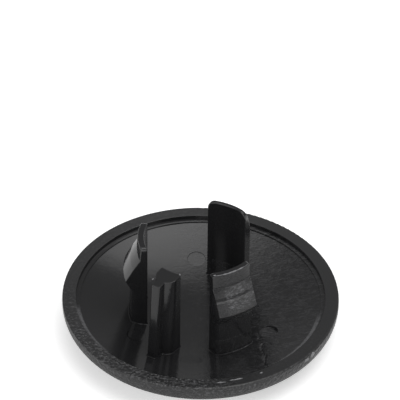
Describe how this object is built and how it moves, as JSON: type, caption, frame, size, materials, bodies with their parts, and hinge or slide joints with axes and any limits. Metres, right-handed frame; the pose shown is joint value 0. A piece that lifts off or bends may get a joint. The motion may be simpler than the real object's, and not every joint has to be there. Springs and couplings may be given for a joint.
{
  "type": "armrest cover cap",
  "caption": "Round black plastic cap with a crowned face, a flat inner rim land, snap legs with outward hooks, a plain leg and a ribbed guide leg.",
  "frame": {"origin": "lowest point of the crowned face, on the axis of the round disc", "axes": "+Z along the disc's axis, from the crowned face towards the leg tips; azimuths of the legs are counted from +X towards +Y"},
  "size_m": [0.045, 0.045, 0.0188],
  "materials": {
    "black_plastic": "glossy as moulded inside and on the legs, fine leather grain on the rim land, the side and the crowned face"
  },
  "bodies": {
    "root": {"armrest_cover_cap": "black_plastic"}
  },
  "joints": []
}
